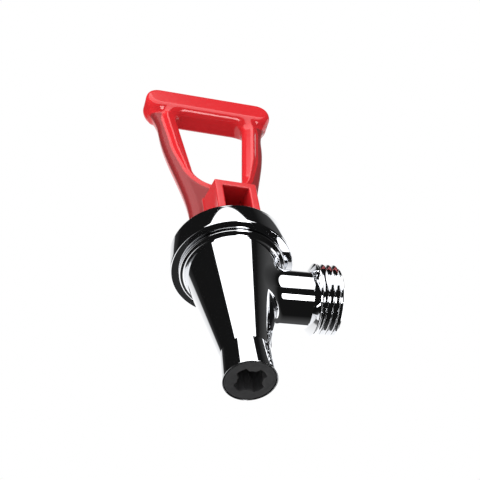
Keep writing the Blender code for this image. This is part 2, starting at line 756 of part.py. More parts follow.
def build():
    """Clear the scene and build every piece."""
    for thing in list(bpy.data.objects):
        bpy.data.objects.remove(thing)

    chrome = material("chrome", (0.80, 0.81, 0.83), 0.05, 1.0)
    red = material("red_plastic", (0.72, 0.03, 0.04), 0.25, 0.0)
    black = material("black_plastic", (0.03, 0.03, 0.03), 0.5, 0.0)
    steel = material("stainless_steel", (0.62, 0.62, 0.61), 0.25, 1.0)
    silicone = material("silicone", (0.75, 0.75, 0.72), 0.6, 0.0)
    acetal = material("acetal", (0.86, 0.85, 0.80), 0.45, 0.0)

    faucet_body(chrome)
    outlet_insert(black)
    bonnet(chrome)
    wear_washer(acetal)
    stem_bush(acetal)
    seat_cup(silicone)
    spring_washer(steel)
    stem_spring(steel)

    swivel = bpy.data.objects.new("swivel", None)
    bpy.context.scene.collection.objects.link(swivel)
    swivel.location = AXIS
    swivel.rotation_euler.z = HANDLE_TURN
    stem(steel, swivel)
    handle(red, swivel)
    handle_pin(steel, swivel)


build()
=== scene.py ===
from math import atan2, cos, pi, radians, sin, sqrt, tan

import bmesh
import bpy
import numpy as np
from mathutils import Matrix, Vector

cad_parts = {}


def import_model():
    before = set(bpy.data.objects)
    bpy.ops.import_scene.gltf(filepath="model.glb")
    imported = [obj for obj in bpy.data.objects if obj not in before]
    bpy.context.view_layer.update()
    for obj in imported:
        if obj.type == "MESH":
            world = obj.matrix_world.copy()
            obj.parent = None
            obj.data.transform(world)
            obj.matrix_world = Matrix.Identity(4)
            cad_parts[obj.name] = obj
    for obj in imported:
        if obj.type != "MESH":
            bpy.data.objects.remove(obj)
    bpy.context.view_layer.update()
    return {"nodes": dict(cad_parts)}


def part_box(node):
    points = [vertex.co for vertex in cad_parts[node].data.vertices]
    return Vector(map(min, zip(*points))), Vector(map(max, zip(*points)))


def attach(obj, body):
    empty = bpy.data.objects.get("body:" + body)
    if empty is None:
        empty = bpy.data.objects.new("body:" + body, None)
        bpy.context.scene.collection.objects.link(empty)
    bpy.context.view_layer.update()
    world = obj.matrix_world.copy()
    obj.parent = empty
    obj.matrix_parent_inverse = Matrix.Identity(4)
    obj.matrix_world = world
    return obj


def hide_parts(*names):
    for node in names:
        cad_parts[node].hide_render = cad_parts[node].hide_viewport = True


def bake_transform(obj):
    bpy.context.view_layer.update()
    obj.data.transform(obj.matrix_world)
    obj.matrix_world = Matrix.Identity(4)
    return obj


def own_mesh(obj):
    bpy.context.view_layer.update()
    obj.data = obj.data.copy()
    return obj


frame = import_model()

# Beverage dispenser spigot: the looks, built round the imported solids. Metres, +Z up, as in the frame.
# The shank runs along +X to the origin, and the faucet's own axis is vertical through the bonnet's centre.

# Camera, as fitted to the round edges of the photographed spigot
PHOTO_SIZE = 480
FOCAL_PIXELS = 1250
SENSOR = 36                         # mm
VIEW_AZIMUTH = radians(-109.74)     # from the faucet towards the camera
VIEW_ELEVATION = radians(-49.65)
VIEW_ROLL = radians(-10.13)
VIEW_DISTANCE = 0.3434              # along the view, to the outlet's centre
OUTLET_PIXEL = (250.25, 380.98)
CLIP_START = 0.01
CLIP_END = 20

# Studio, as the chrome reflects it. Directions of the table, the card and the strip are given from the
# camera, as right, up and away. Those of the soft box and the side light are in the faucet's frame.
TABLE_FAR_EDGE = (0.435, -0.795, 0.375)   # normal of the plane of the table's far edge, towards the table
TABLE_RIGHT_EDGE = (-1, 0.176, 0.45)      # the same, for its right edge
TABLE_LIGHT = 0.68
TABLE_BLUR = 0.02
RIGHT_EDGE_BLUR = 0.012
TABLE_GLOW = 0.50                         # fades out beyond the far edge
GLOW_SHIFT = 0.25
GLOW_BLUR = 0.25
TABLE_HAZE = 0.07                         # a faint wider glow, on the side away from the camera only
HAZE_BLUR = 0.25
HAZE_SIDE_BLUR = 0.30
CARD_DIRECTION = (0.869, -0.174, 0.462)
CARD_RADIUS = radians(26)
CARD_BLUR = 0.02
CARD_LIGHT = 1.6
STRIP_DIRECTION = (0.434, 0.139, -0.890)
STRIP_RADIUS = radians(9)
STRIP_BLUR = 0.03
STRIP_LIGHT = 9.0
BOX_DIRECTION = (-0.144, -0.897, 0.429)
BOX_RADIUS = radians(37.6)
BOX_BLUR = 0.012
BOX_LIGHT = 2.2
ROOM_LIGHT = 0.008
FILL = 0.60                               # the world's light on matt surfaces
FLOOR_Z = -0.45
FLOOR_HALF = 3.0
LAMP_TARGET_Z = 0.03
LAMP_DISTANCE = 0.8
BOX_SIZE = 0.9
BOX_ENERGY = 6
SIDE_DIRECTION = (-0.95, -0.25, 0.15)
SIDE_SIZE = 0.5
SIDE_ENERGY = 3.5

# Colours, linear
CHROME = (0.83, 0.84, 0.86, 1)
STEEL = (0.58, 0.57, 0.56, 1)
RED = (0.58, 0.018, 0.023, 1), (0.66, 0.024, 0.029, 1)
# Painted shade: the recessed plate's red, much darker than the gloss red, for the shade there
SHADED_SATIN_RED = (0.24, 0.015, 0.017, 1)
BLACK = (0.022, 0.022, 0.023, 1), (0.050, 0.050, 0.052, 1)
ACETAL = (0.74, 0.73, 0.68, 1), (0.82, 0.81, 0.77, 1)
SILICONE = (0.62, 0.61, 0.57, 1), (0.70, 0.69, 0.65, 1)
FLOOR = (0.9, 0.9, 0.9, 1)

# Places and sizes read from the frame
BONNET_LOW, BONNET_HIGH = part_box("bonnet")
BODY_LOW, BODY_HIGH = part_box("faucet_body")
WASHER_LOW, WASHER_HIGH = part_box("wear_washer")
PIN_LOW, PIN_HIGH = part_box("handle_pin")
HANDLE_LOW, HANDLE_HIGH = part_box("handle")
INSERT_LOW, INSERT_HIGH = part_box("outlet_insert")
AXIS_X = (BONNET_LOW[0] + BONNET_HIGH[0]) / 2
OUTLET_Z = BODY_LOW[2]
LIP_Z = BONNET_LOW[2]
TOP_Z = BONNET_HIGH[2]
RIM_Z = BODY_HIGH[2]
BASE_Z = HANDLE_LOW[2]
PIN_Z = (PIN_LOW[2] + PIN_HIGH[2]) / 2

# Body
GAP = 0.0003
TIP_INNER_ROUND = 0.0001
TIP_OUTER_ROUND = 0.00016
OUTLET_R = 0.0079
TIP_R = 0.0074
TIP_LENGTH = 0.0102
CONE_TOP_R = 0.0144
CONE_TOP_Z = 0.0092
COLLAR_R = 0.0161
COLLAR_H = 0.0009
COLLAR_LEDGE = 0.0003       # the corner below the collar lies this far outside the cone's top
COLLAR_LEDGE_H = 0.0002     # and this far below the collar
COLLAR_LAP = 0.0001         # the collar reaches down into the cone, here outside
COLLAR_INNER_LAP = 0.0004   # and here inside
COLLAR_FILLET = 0.0006
COLLAR_LOW_ROUND = 0.0004
COLLAR_HIGH_ROUND = 0.0003
BODY_NECK_R = 0.0150
RIM_OUTER_ROUND = 0.0003
RIM_INNER_ROUND = 0.0002
NECK_R = 0.0086
NECK_FILLET = 0.0022
THREAD_R = 0.0111
THREAD_DEPTH = 0.0011
THREAD_PITCH = 0.00181
THREAD_LENGTH = 0.0073
THREAD_RINGS = 24           # per pitch
THREAD_ROOT = 0.10          # share of a half pitch that is the flat root
THREAD_FLANK = 0.76         # share of a half pitch that is the flank
RUNOUT_PITCHES = 0.7
FLARE_LENGTH = 0.0014
END_SLOPE = 1.2
END_STEP = 0.0001           # the end face's radius over the thread's root
INLET_R = 0.0055
INLET_CHAMFER = 0.0003
DRAIN_R = 0.0045
CHAMBER_TOP_R = 0.0120
CHAMBER_FLOOR_R = 0.0082
CHAMBER_FLOOR_Z = -0.0098

# Outlet insert
INSERT_FLANGE_R = 0.0073
INSERT_FLANGE_H = 0.0015
INSERT_SLEEVE_R = 0.0061
LOBE_R = 0.0048
RIB_TIP_R = 0.0036
RIB_COUNT = 4
RIB_TIP_HALF = radians(15)
RIB_ROOT_HALF = radians(25)
RIB_EDGE = (0.00025, 0.0), (0.0001, 0.00006), (0.0, 0.0002)   # how far the bore widens, at each height
INSERT_CHAMFER = 0.00015

# Bonnet
BONNET_TOP_INSET = 0.00065  # the wall's top is narrower than the lip, after the shape of its reflection
BONNET_TOP_R = (BONNET_HIGH[0] - BONNET_LOW[0]) / 2 - BONNET_TOP_INSET
BONNET_EDGE = 0.0007
BONNET_LIP_R = 0.01875
BONNET_LIP_ROUND = 0.0005
BONNET_BARREL = 1.7         # power of the wall's outward curve
BONNET_PLATE = 0.0014
BONNET_HOLE_R = 0.0055
RECESS_DEPTH = 0.0005

# Handle, in its own frame: x along the grip, y to the back, z up from the flat base
HANDLE_TURN = radians(3.3)
PIN_H = PIN_Z - BASE_Z
PIN_R = 0.0013
LIFT_PER_RADIAN = 0.0105
TILT_MAX = radians(22)
CLEVIS_HALF_WIDTH = 0.0067
CLEVIS_WALL = 0.0025
CLEVIS_FRONT = 0.0147
CLEVIS_BACK = 0.0080
CLEVIS_BACK_WALL = 0.0030
CLEVIS_FRONT_H = 0.0153
CLEVIS_MIDDLE_H = 0.0217
CLEVIS_ROOF = 0.0024
CAVITY_SPARE = 0.003        # the cavity's cutter reaches this far out of the clevis
GRIP_TOP_H = HANDLE_HIGH[2] - BASE_Z
GRIP_HEIGHT = 0.0103
GRIP_DEPTH = 0.0092
GRIP_HALF_LENGTH = 0.0225
GRIP_EDGE = 0.0008
GRIP_FRONT_EDGE = 0.0030
GRIP_BACK_EDGE = 0.0014
GRIP_END_EDGE = 0.0032
LEG_BACK = 0.0038
LEG_FRONT = 0.0037
WEB_FRONT = 0.0021
PARTING_HALF = 0.00075
LOOP_BAND_FRONT = 0.0018
BACK_DRAFT = 0.0015
FRONT_DRAFT = 0.0018
RIM_SLOPE = 0.0034
FOOT_HALF = 0.0115
FOOT_LOW_H = 0.0004
FOOT_H = 0.0130
SHOULDER_HALF = 0.0186
SHOULDER_H = 0.0600
FLARE_SINK = 0.0012         # how far the legs reach up into the grip
FLARE_TOP_H = GRIP_TOP_H - GRIP_HEIGHT + FLARE_SINK
FLARE_RISE = 0.0112
FLARE_H = FLARE_TOP_H - FLARE_RISE
FLARE_R = 0.0260
LOOP_BOTTOM_H = 0.0300
LOOP_CORNER = 0.0075
LOOP_BOTTOM_HALF = 0.0085
LOOP_TOP_HALF = 0.0118
LOOP_TOP_CORNER = 0.0038
LOOP_TOP_REACH = 0.0006
RIM_LOW = 0.0016
RIM_HIGH = 0.0037
RIM_FLANK = 0.0013
PIN_REACH = FOOT_HALF - 0.0030

# Roundings of the handle's edges
RIDGE_ROUND = 0.0012
PLATE_FRONT_ROUND = 0.0010
PLATE_BACK_ROUND = 0.0008
RIM_TOP_ROUND = 0.0005
RIM_BACK_ROUND = 0.0002
RIM_FOOT_ROUND = 0.0008
LOOP_EDGE_ROUND = 0.0005
GRIP_FILLET = 0.0016
CLEVIS_ROUND = 0.0003
CLEVIS_FILLET = 0.0005
CAVITY_ROUND = 0.0004
HOLE_ROUND = 0.0002

# Satin texture, and the painted shade that darkens the same faces: both end short of the rim and the
# clevis, over a short fade
SATIN_AND_SHADE_RIM_GAP = 0.0004
SATIN_AND_SHADE_CLEVIS_GAP = 0.0002
SATIN_AND_SHADE_FADE = 0.0002
SATIN_AND_SHADE_START = 1.5

# Fineness
TURN_STEPS = 192
FILLET_STEPS = 6
TIP_STEPS = 4
LOBE_STEPS = 8
BONNET_ROWS = 16
EDGE_STEPS = 10
LIP_STEPS = 6
LEG_STEPS = 40
CORNER_STEPS = 12
TOP_CORNER_STEPS = 10
NOSE_STEPS = 12
CAST_STEP = 0.00042
CAST_MARGIN = 0.002
HANDLE_STEP = 0.00036
HANDLE_MARGIN = 0.001
SLOPE_STEP = 2e-5
SLOPE_FLOOR = 0.05          # least squared slope that a step onto the surface is divided by
SETTLE_ROUNDS = 3
SHARP_ANGLE = radians(32)
WELD = 1e-7
BROAD_WEIGHT = 80


def node_tree(name):
    """A new material with an empty Principled shader, and its node tree."""
    made = bpy.data.materials.new(name)
    made.use_nodes = True
    tree = made.node_tree
    return made, tree, tree.nodes["Principled BSDF"]


def noise(tree, scale, detail=2.0, roughness=0.5):
    """The value of a noise texture in the object's own coordinates."""
    place = tree.nodes.new("ShaderNodeTexCoord")
    texture = tree.nodes.new("ShaderNodeTexNoise")
    texture.inputs["Scale"].default_value = scale
    texture.inputs["Detail"].default_value = detail
    texture.inputs["Roughness"].default_value = roughness
    tree.links.new(place.outputs["Object"], texture.inputs["Vector"])
    return texture.outputs["Fac"]


def spread(tree, source, low, high):
    """Map a 0 to 1 value to a range."""
    step = tree.nodes.new("ShaderNodeMapRange")
    step.inputs["To Min"].default_value = low
    step.inputs["To Max"].default_value = high
    tree.links.new(source, step.inputs["Value"])
    return step.outputs["Result"]


def tinted(tree, source, colours):
    """A colour between two, by a 0 to 1 value."""
    ramp = tree.nodes.new("ShaderNodeValToRGB")
    for stop, colour in zip(ramp.color_ramp.elements, colours):
        stop.color = colour
    tree.links.new(source, ramp.inputs["Fac"])
    return ramp.outputs["Color"]


def blended(tree, kind, share, a, b):
    """Mix a and b by the share of b, where b may be a constant."""
    mix = tree.nodes.new("ShaderNodeMix")
    mix.data_type = kind
    tree.links.new(share, mix.inputs["Factor"])
    tree.links.new(a, mix.inputs["A"])
    if isinstance(b, tuple):
        mix.inputs["B"].default_value = b
    else:
        tree.links.new(b, mix.inputs["B"])
    return mix.outputs["Result"]


def bump(tree, shader, source, height, strength):
    """Raise the surface by a texture, with its height in metres."""
    step = tree.nodes.new("ShaderNodeBump")
    step.inputs["Distance"].default_value = height
    step.inputs["Strength"].default_value = strength
    tree.links.new(source, step.inputs["Height"])
    tree.links.new(step.outputs["Normal"], shader.inputs["Normal"])


def chrome_plating():
    """Bright plating over a polished casting, with faint ripples and hairline wear."""
    made, tree, shader = node_tree("chrome_plating")
    shader.inputs["Base Color"].default_value = CHROME
    shader.inputs["Metallic"].default_value = 1
    wear = noise(tree, scale=900, detail=4, roughness=0.6)
    tree.links.new(spread(tree, wear, 0.015, 0.06), shader.inputs["Roughness"])
    ripple = noise(tree, scale=90, detail=1)
    bump(tree, shader, ripple, height=0.00004, strength=0.35)
    return made


def red_plastic():
    """Injection-moulded plastic: glossy, with a satin mould texture on the recessed faces, and a darker red
    there that is painted shade.
    """
    made, tree, shader = node_tree("red_gloss_plastic")
    red = tinted(tree, noise(tree, scale=60), RED)
    satin = tree.nodes.new("ShaderNodeAttribute")
    satin.attribute_name = "satin"
    share = satin.outputs["Fac"]
    # Painted shade: the recessed faces take the darker red as well as the satin roughness
    tree.links.new(blended(tree, "RGBA", share, red, SHADED_SATIN_RED), shader.inputs["Base Color"])
    grain = noise(tree, scale=1400, detail=3)
    gloss = spread(tree, grain, 0.08, 0.16)
    matt = spread(tree, grain, 0.38, 0.50)
    tree.links.new(blended(tree, "FLOAT", share, gloss, matt), shader.inputs["Roughness"])
    bump(tree, shader, noise(tree, scale=220), height=0.00002, strength=0.4)
    return made


def black_plastic():
    """Fine matt black moulding."""
    made, tree, shader = node_tree("black_matte_plastic")
    tint = noise(tree, scale=700, detail=4, roughness=0.7)
    tree.links.new(tinted(tree, tint, BLACK), shader.inputs["Base Color"])
    tree.links.new(spread(tree, tint, 0.5, 0.75), shader.inputs["Roughness"])
    grain = noise(tree, scale=2600, detail=3)
    bump(tree, shader, grain, height=0.00006, strength=0.6)
    return made


def steel():
    """Turned stainless steel, with a fine mottled grain."""
    made, tree, shader = node_tree("turned_steel")
    shader.inputs["Base Color"].default_value = STEEL
    shader.inputs["Metallic"].default_value = 1
    grain = noise(tree, scale=1500, detail=3)
    tree.links.new(spread(tree, grain, 0.18, 0.38), shader.inputs["Roughness"])
    bump(tree, shader, grain, height=0.00002, strength=0.5)
    return made


def mottled(name, colours, scale, detail, roughness):
    """A pale plain plastic, whose colour and roughness vary a little together."""
    made, tree, shader = node_tree(name)
    tint = noise(tree, scale, detail)
    tree.links.new(tinted(tree, tint, colours), shader.inputs["Base Color"])
    tree.links.new(spread(tree, tint, *roughness), shader.inputs["Roughness"])
    return made


def add_piece(name, vertices, faces, finish, body, slot, nodes=(), normals=None):
    """A mesh piece that rides on a body and takes the finish it is given; the slot is not used."""
    mesh = bpy.data.meshes.new(name)
    mesh.from_pydata([tuple(v) for v in vertices], [], [tuple(f) for f in faces])
    mesh.validate()
    bm = bmesh.new()
    bm.from_mesh(mesh)
    if normals is None:
        bmesh.ops.remove_doubles(bm, verts=bm.verts, dist=WELD)
        bmesh.ops.recalc_face_normals(bm, faces=bm.faces)
    bm.to_mesh(mesh)
    bm.free()
    mesh.shade_smooth()
    if normals is None:
        mesh.set_sharp_from_angle(angle=SHARP_ANGLE)
    else:
        mesh.normals_split_custom_set_from_vertices([tuple(n) for n in normals])
    mesh.materials.append(finish)
    made = bpy.data.objects.new(name, mesh)
    bpy.context.scene.collection.objects.link(made)
    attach(made, body)
    if nodes:
        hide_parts(*nodes)
    return made


def weigh_normals(piece):
    """Let broad faces keep their own normals beside narrow fillets."""
    step = piece.modifiers.new("Broad faces first", "WEIGHTED_NORMAL")
    step.mode = "FACE_AREA"
    step.weight = BROAD_WEIGHT
    step.keep_sharp = True


def fillet_path(corners):
    """A closed outline from corners of (radius, height, fillet), with each fillet as an arc."""
    points = []
    count = len(corners)
    for i in range(count):
        here = Vector(corners[i][:2])
        size = corners[i][2]
        if size == 0:
            points.append((here.x, here.y))
            continue
        before = (Vector(corners[i - 1][:2]) - here).normalized()
        after = (Vector(corners[(i + 1) % count][:2]) - here).normalized()
        half = before.angle(after) / 2
        run = size / tan(half)
        centre = here + (before + after).normalized() * (size / sin(half))
        start = here + before * run - centre
        end = here + after * run - centre
        turn = atan2(start.x * end.y - start.y * end.x, start.dot(end))
        for k in range(FILLET_STEPS + 1):
            angle = turn * k / FILLET_STEPS
            point = centre + Matrix.Rotation(angle, 2) @ start
            points.append((point.x, point.y))
    return points


def band(a, b, count):
    """Quads between two closed rows of vertices, given by their first indices."""
    return [(a + s, a + (s + 1) % count, b + (s + 1) % count, b + s) for s in range(count)]


def turned(outline):
    """Vertices and faces of a closed outline of (radius, height) turned about the faucet's axis."""
    vertices = []
    faces = []
    count = len(outline)
    for s in range(TURN_STEPS):
        angle = 2 * pi * s / TURN_STEPS
        for r, z in outline:
            vertices.append((AXIS_X + r * cos(angle), r * sin(angle), z))
    for s in range(TURN_STEPS):
        t = (s + 1) % TURN_STEPS
        for i in range(count):
            j = (i + 1) % count
            faces.append((s * count + i, t * count + i, t * count + j, s * count + j))
    return vertices, faces


def crossing_means(values):
    """How often the zero surface crosses each cell's edges, and the crossings' mean place in the cell."""
    shape = values.shape
    total = np.zeros([n - 1 for n in shape] + [3])
    hits = np.zeros([n - 1 for n in shape])
    for axis in range(3):
        others = [a for a in range(3) if a != axis]
        for du in (0, 1):
            for dv in (0, 1):
                near = [slice(0, n - 1) for n in shape]
                near[others[0]] = slice(du, shape[others[0]] - 1 + du)
                near[others[1]] = slice(dv, shape[others[1]] - 1 + dv)
                far = list(near)
                far[axis] = slice(1, shape[axis])
                a = values[tuple(near)]
                b = values[tuple(far)]
                crossed = (a < 0) != (b < 0)
                hits += crossed
                total[..., axis] += np.where(crossed, a / np.where(crossed, a - b, 1), 0)
                total[..., others[0]] += crossed * du
                total[..., others[1]] += crossed * dv
    return hits, total / np.maximum(hits, 1)[..., None]


def edge_quads(inside, index, axis):
    """A quad of the four cells round each edge along an axis that crosses the surface."""
    near = [slice(1, n - 1) for n in inside.shape]
    near[axis] = slice(0, inside.shape[axis] - 1)
    far = list(near)
    far[axis] = slice(1, inside.shape[axis])
    place = np.argwhere(inside[tuple(near)] != inside[tuple(far)])
    place[:, [a for a in range(3) if a != axis]] += 1
    u, v = [(1, 2), (2, 0), (0, 1)][axis]
    ring = []
    for du, dv in ((-1, -1), (0, -1), (0, 0), (-1, 0)):
        cell = place.copy()
        cell[:, u] += du
        cell[:, v] += dv
        ring.append(index[tuple(cell.T)])
    ring = np.stack(ring, 1)
    outward = inside[tuple(place.T)]
    ring[~outward] = ring[~outward][:, ::-1]
    return ring


def surface_net(field, low, high, step):
    """Mesh a field's zero surface: one vertex in each cell that it crosses, joined by quads."""
    spans = [np.arange(a, b + step, step) for a, b in zip(low, high)]
    values = field(*np.meshgrid(*spans, indexing="ij", sparse=True))
    hits, means = crossing_means(values)
    filled = hits > 0
    index = np.full(hits.shape, -1)
    index[filled] = np.arange(filled.sum())
    points = (np.argwhere(filled) + means[filled]) * step + np.array(low)
    return points, np.concatenate([edge_quads(values < 0, index, axis) for axis in range(3)])


def slopes(field, points):
    """The field's gradient at each point, by small steps to both sides."""
    x, y, z = points.T
    h = SLOPE_STEP
    return np.stack([
        field(x + h, y, z) - field(x - h, y, z),
        field(x, y + h, z) - field(x, y - h, z),
        field(x, y, z + h) - field(x, y, z - h),
    ], 1) / (2 * h)


def settled(field, points):
    """Move points onto the field's zero surface, and give the surface's normals there."""
    for _ in range(SETTLE_ROUNDS):
        slope = slopes(field, points)
        size = np.maximum((slope ** 2).sum(1), SLOPE_FLOOR)
        points = points - slope * (field(*points.T) / size)[:, None]
    slope = slopes(field, points)
    return points, slope / np.maximum(np.linalg.norm(slope, axis=1), 1e-9)[:, None]


def joined(a, b, radius):
    """Union of two fields with a round fillet between them."""
    deep = np.sqrt(np.maximum(radius - a, 0) ** 2 + np.maximum(radius - b, 0) ** 2)
    return np.maximum(radius, np.minimum(a, b)) - deep


def cut(a, b, radius):
    """Field a with b taken away, and the new edge rounded."""
    deep = np.sqrt(np.maximum(radius + a, 0) ** 2 + np.maximum(radius - b, 0) ** 2)
    return np.minimum(-radius, np.maximum(a, -b)) + deep


def thickened(flat, across, edge):
    """A flat outline's field given a thickness, with its edges rounded."""
    u = flat + edge
    v = across + edge
    return np.minimum(np.maximum(u, v), 0) + np.sqrt(np.maximum(u, 0) ** 2 + np.maximum(v, 0) ** 2) - edge


def polygon_field(outline, a, b):
    """Signed distance to a closed outline, negative inside."""
    nearest = np.full(np.broadcast(a, b).shape, np.inf)
    crossings = np.zeros(nearest.shape, int)
    for (a0, b0), (a1, b1) in zip(outline, outline[1:] + outline[:1]):
        da = a1 - a0
        db = b1 - b0
        share = np.clip(((a - a0) * da + (b - b0) * db) / (da * da + db * db), 0, 1)
        nearest = np.minimum(nearest, (a - a0 - share * da) ** 2 + (b - b0 - share * db) ** 2)
        spans = (b0 > b) != (b1 > b)
        reach = a0 + (b - b0) * (da / db if db else 0)
        crossings += spans & (a < reach)
    return np.sqrt(nearest) * np.where(crossings % 2, -1, 1)


def arc(centre, radius, start, end, steps):
    """Points of an arc, both ends included."""
    return [(centre[0] + radius * cos(start + (end - start) * i / steps),
             centre[1] + radius * sin(start + (end - start) * i / steps)) for i in range(steps + 1)]


def mirrored(side):
    """Close a right half, given from the bottom up, into an anticlockwise outline."""
    return side + [(-x, z) for x, z in reversed(side) if x > WELD]


def eased(start, end, share):
    """Go from one value to another, level at both ends."""
    share = np.clip(share, 0, 1)
    return start + (end - start) * share * share * (3 - 2 * share)


def casting_field(x, y, z):
    """The cone and the inlet neck with the fillet between them, hollow inside."""
    slope = (CONE_TOP_R - TIP_R) / (CONE_TOP_Z - OUTLET_Z - TIP_LENGTH)
    lean = 1 / sqrt(1 + slope * slope)
    away = np.sqrt((x - AXIS_X) ** 2 + y ** 2)
    cone = (away - TIP_R - slope * (z - OUTLET_Z - TIP_LENGTH)) * lean
    round_x = np.sqrt(y ** 2 + z ** 2)
    neck = np.maximum(round_x - NECK_R, AXIS_X - x)
    solid = joined(cone, neck, NECK_FILLET)
    solid = np.maximum(solid, z - CONE_TOP_Z - GAP)
    solid = np.maximum(solid, OUTLET_Z + TIP_LENGTH - GAP - z)
    solid = np.maximum(solid, x + THREAD_LENGTH + FLARE_LENGTH - GAP)
    chamber_slope = (CHAMBER_TOP_R - CHAMBER_FLOOR_R) / (CONE_TOP_Z - CHAMBER_FLOOR_Z)
    chamber = away - CHAMBER_FLOOR_R - chamber_slope * (z - CHAMBER_FLOOR_Z)
    chamber = np.maximum(chamber, CHAMBER_FLOOR_Z - z)
    inlet = np.maximum(round_x - INLET_R - GAP, AXIS_X - x)
    drain = away - DRAIN_R - GAP
    hollow = np.minimum(np.minimum(chamber, inlet), drain)
    return np.maximum(solid, -hollow)


def casting(finish):
    """The cone and neck of the body."""
    reach = CONE_TOP_R + CAST_MARGIN
    low = (AXIS_X - reach, -reach, OUTLET_Z + TIP_LENGTH - CAST_MARGIN)
    high = (-THREAD_LENGTH - FLARE_LENGTH + CAST_MARGIN, reach, CONE_TOP_Z + CAST_MARGIN)
    points, quads = surface_net(casting_field, low, high, CAST_STEP)
    points, normals = settled(casting_field, points)
    add_piece("body_casting", points, quads, finish, "body", "chrome", ("faucet_body",), normals)


def outlet_tip(finish):
    """The chrome tube below the cone, flared towards its end, with the pocket for the black insert."""
    tip_z = OUTLET_Z + TIP_LENGTH
    pocket_r = INSERT_FLANGE_R + GAP
    pocket_z = OUTLET_Z + INSERT_FLANGE_H + GAP
    sleeve_r = INSERT_SLEEVE_R + GAP
    sleeve_z = INSERT_HIGH[2] + GAP
    outline = fillet_path([
        (TIP_R, tip_z, 0),
        (DRAIN_R, tip_z, 0),
        (DRAIN_R, sleeve_z, 0),
        (sleeve_r, sleeve_z, 0),
        (sleeve_r, pocket_z, 0),
        (pocket_r, pocket_z, 0),
        (pocket_r, OUTLET_Z, TIP_INNER_ROUND),
        (OUTLET_R, OUTLET_Z, TIP_OUTER_ROUND),
    ])
    weigh_normals(add_piece("outlet_tip", *turned(outline), finish, "body", "chrome"))


def collar(finish):
    """The rolled collar at the top of the body, under the bonnet's lip, and the neck above it."""
    high = LIP_Z - GAP
    low = high - COLLAR_H
    outline = fillet_path([
        (CHAMBER_TOP_R, CONE_TOP_Z - COLLAR_INNER_LAP, 0),
        (CONE_TOP_R, CONE_TOP_Z - COLLAR_LAP, 0),
        (CONE_TOP_R + COLLAR_LEDGE, low - COLLAR_LEDGE_H, COLLAR_FILLET),
        (COLLAR_R, low, COLLAR_LOW_ROUND),
        (COLLAR_R, high, COLLAR_HIGH_ROUND),
        (BODY_NECK_R, high, 0),
        (BODY_NECK_R, RIM_Z, RIM_OUTER_ROUND),
        (CHAMBER_TOP_R, RIM_Z, RIM_INNER_ROUND),
    ])
    weigh_normals(add_piece("body_collar", *turned(outline), finish, "body", "chrome"))


def thread_shape(share):
    """Height of the thread, 0 at the root and 1 at the crest, along one pitch."""
    wave = 1 - abs(2 * (share % 1) - 1)
    return min(1, max(0, (wave - THREAD_ROOT) / THREAD_FLANK))


def thread_radius(x, share):
    """Radius of the threaded end, at a distance along the shank and a share of one pitch."""
    runout = min(1, max(0, (x + THREAD_LENGTH) / (RUNOUT_PITCHES * THREAD_PITCH)))
    radius = THREAD_R - THREAD_DEPTH * (1 - thread_shape(share)) * runout
    return min(radius, THREAD_R - THREAD_DEPTH + END_STEP - x * END_SLOPE)


def shank_ring(place):
    """A row of vertices round the shank, where place gives x and the radius at each step."""
    ring = []
    for s in range(TURN_STEPS):
        angle = 2 * pi * s / TURN_STEPS
        x, radius = place(s)
        ring.append((x, radius * sin(angle), radius * cos(angle)))
    return ring


def helix_place(i, s):
    """x and radius of a point of the thread's ring i, which climbs by one pitch in a turn."""
    x = -THREAD_LENGTH + THREAD_PITCH * (i / THREAD_RINGS - 1 + s / TURN_STEPS)
    x = min(0, max(-THREAD_LENGTH, x))
    return x, thread_radius(x, (x + THREAD_LENGTH) / THREAD_PITCH - s / TURN_STEPS)


def helix_band(row, last_row):
    """Quads between a thread's row and the next one. They meet the rows one pitch on at the seam."""
    faces = band(row * TURN_STEPS, (row + 1) * TURN_STEPS, TURN_STEPS)
    end = faces.pop()
    near = min(row + THREAD_RINGS, last_row) * TURN_STEPS
    far = min(row + 1 + THREAD_RINGS, last_row) * TURN_STEPS
    return faces + [(end[0], near, far, end[3])]


def shank_end(finish):
    """The threaded end of the shank, whose rings follow the helix, with its flare, chamfer and bore."""
    flare_x = -THREAD_LENGTH - FLARE_LENGTH
    rings = THREAD_RINGS * (int(THREAD_LENGTH / THREAD_PITCH) + 2)
    vertices = shank_ring(lambda s: (flare_x, NECK_R))
    for i in range(rings + 1):
        vertices += shank_ring(lambda s: helix_place(i, s))
    for place in ((0, INLET_R + INLET_CHAMFER), (-INLET_CHAMFER, INLET_R), (flare_x, INLET_R)):
        vertices += shank_ring(lambda s: place)
    faces = band(0, TURN_STEPS, TURN_STEPS)
    for row in range(1, rings + 1):
        faces += helix_band(row, rings + 1)
    bore = rings + 2
    for row, after in ((rings + 1, bore), (bore, bore + 1), (bore + 1, bore + 2), (bore + 2, 0)):
        faces += band(row * TURN_STEPS, after * TURN_STEPS, TURN_STEPS)
    weigh_normals(add_piece("shank_thread", vertices, faces, finish, "body", "chrome"))


def rib_ring():
    """The outline of the insert's bore: a rib's tip and the lobe beside it, in turn."""
    ring = []
    for rib in range(RIB_COUNT):
        middle = 2 * pi * rib / RIB_COUNT
        after = middle + 2 * pi / RIB_COUNT
        ring += arc((0, 0), RIB_TIP_R, middle - RIB_TIP_HALF, middle + RIB_TIP_HALF, TIP_STEPS)
        ring += arc((0, 0), LOBE_R, middle + RIB_ROOT_HALF, after - RIB_ROOT_HALF, LOBE_STEPS)
    return [Vector(p) for p in ring]


def grown(outline, distance):
    """An anticlockwise outline of vectors, moved outwards."""
    moved = []
    for before, here, after in zip(outline[-1:] + outline[:-1], outline, outline[1:] + outline[:1]):
        along = ((here - before).normalized() + (after - here).normalized()).normalized()
        moved.append((here.x + along.y * distance, here.y - along.x * distance))
    return moved


